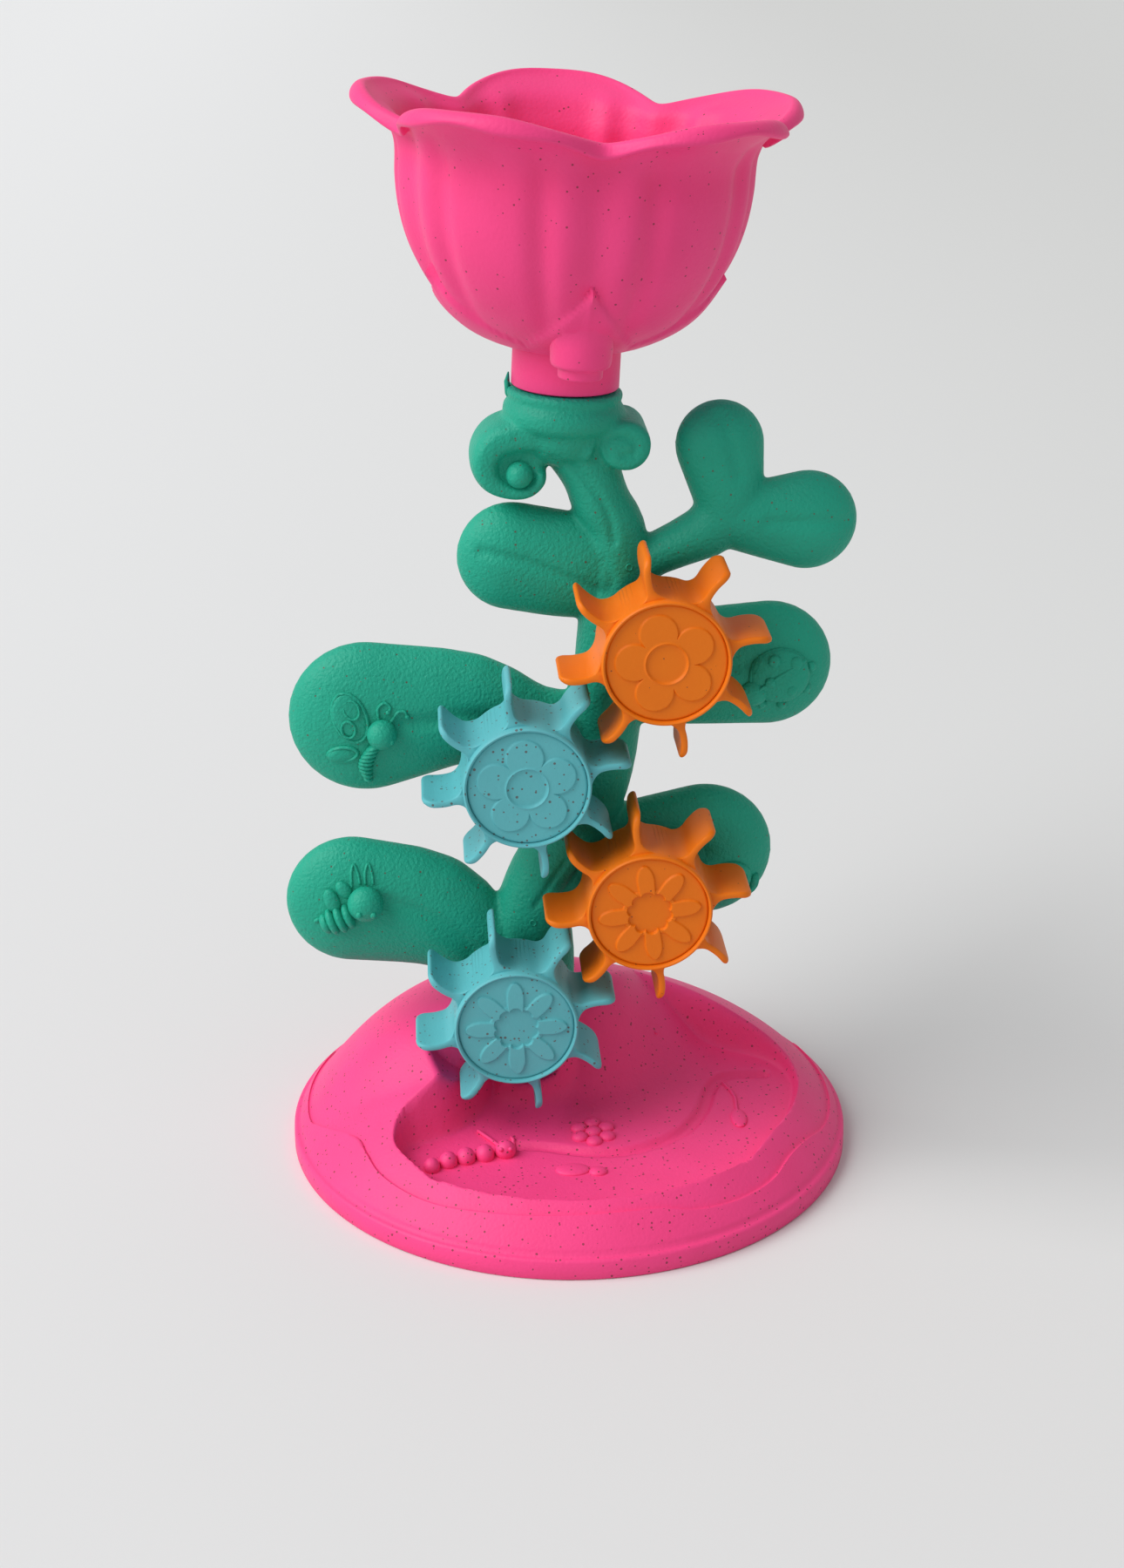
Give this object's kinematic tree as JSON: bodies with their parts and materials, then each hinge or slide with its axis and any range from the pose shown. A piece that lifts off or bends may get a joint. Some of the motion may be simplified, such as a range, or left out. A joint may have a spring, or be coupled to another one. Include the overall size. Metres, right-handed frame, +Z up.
{
  "type": "sand wheel toy",
  "caption": "Sand wheel toy: a flower-shaped funnel on a leafy stem pours sand or water over meshing paddle wheels into a pond in a domed base.",
  "frame": {"origin": "on the ground under the middle of the round base", "axes": "+Z up from the ground to the funnel, -Y towards the viewer's side with the wheels and the pond, +X to the right seen from there"},
  "size_m": [0.174, 0.174, 0.3216],
  "materials": {
    "pink_plastic": "matte moulded bioplastic with fine dark flecks",
    "green_plastic": "matte pebbled moulded bioplastic with fine dark flecks",
    "orange_plastic": "matte moulded bioplastic with fine dark flecks",
    "blue_plastic": "matte moulded bioplastic with many fine dark flecks"
  },
  "bodies": {
    "base": {"base": "pink_plastic"},
    "stem": {"stem_front": "green_plastic", "stem_back": "green_plastic", "axle_pin_1": "green_plastic", "axle_pin_2": "green_plastic", "axle_pin_3": "green_plastic", "axle_pin_4": "green_plastic"},
    "funnel": {"funnel": "pink_plastic"},
    "wheel_1": {"paddle_wheel_1": "orange_plastic", "wheel_cap_1": "orange_plastic"},
    "wheel_2": {"paddle_wheel_2": "blue_plastic", "wheel_cap_2": "blue_plastic"},
    "wheel_3": {"paddle_wheel_3": "orange_plastic", "wheel_cap_3": "orange_plastic"},
    "wheel_4": {"paddle_wheel_4": "blue_plastic", "wheel_cap_4": "blue_plastic"}
  },
  "joints": [
    {"name": "stem_lift", "type": "slide", "parent": "base", "child": "stem", "axis": [0.048, 0, 0.9988], "range_m": [0, 0.04]},
    {"name": "funnel_turn", "type": "hinge", "parent": "stem", "child": "funnel", "pos_m": [-0.00144, 0, 0.23878], "axis": [0.048, 0, 0.9988], "continuous": true},
    {"name": "wheel_1_spin", "type": "hinge", "parent": "stem", "child": "wheel_1", "pos_m": [0.02491, -0.025, 0.16823], "axis": [0, -1, 0], "continuous": true},
    {"name": "wheel_2_spin", "type": "hinge", "parent": "stem", "child": "wheel_2", "pos_m": [-0.0143, -0.025, 0.13157], "axis": [0, -1, 0], "continuous": true},
    {"name": "wheel_3_spin", "type": "hinge", "parent": "stem", "child": "wheel_3", "pos_m": [0.02122, -0.025, 0.09132], "axis": [0, -1, 0], "continuous": true},
    {"name": "wheel_4_spin", "type": "hinge", "parent": "stem", "child": "wheel_4", "pos_m": [-0.01799, -0.025, 0.05466], "axis": [0, -1, 0], "continuous": true}
  ],
  "couplings": [
    {"joint": "wheel_2_spin", "follows": "wheel_1_spin", "ratio": -1},
    {"joint": "wheel_3_spin", "follows": "wheel_1_spin", "ratio": 1},
    {"joint": "wheel_4_spin", "follows": "wheel_1_spin", "ratio": -1}
  ]
}
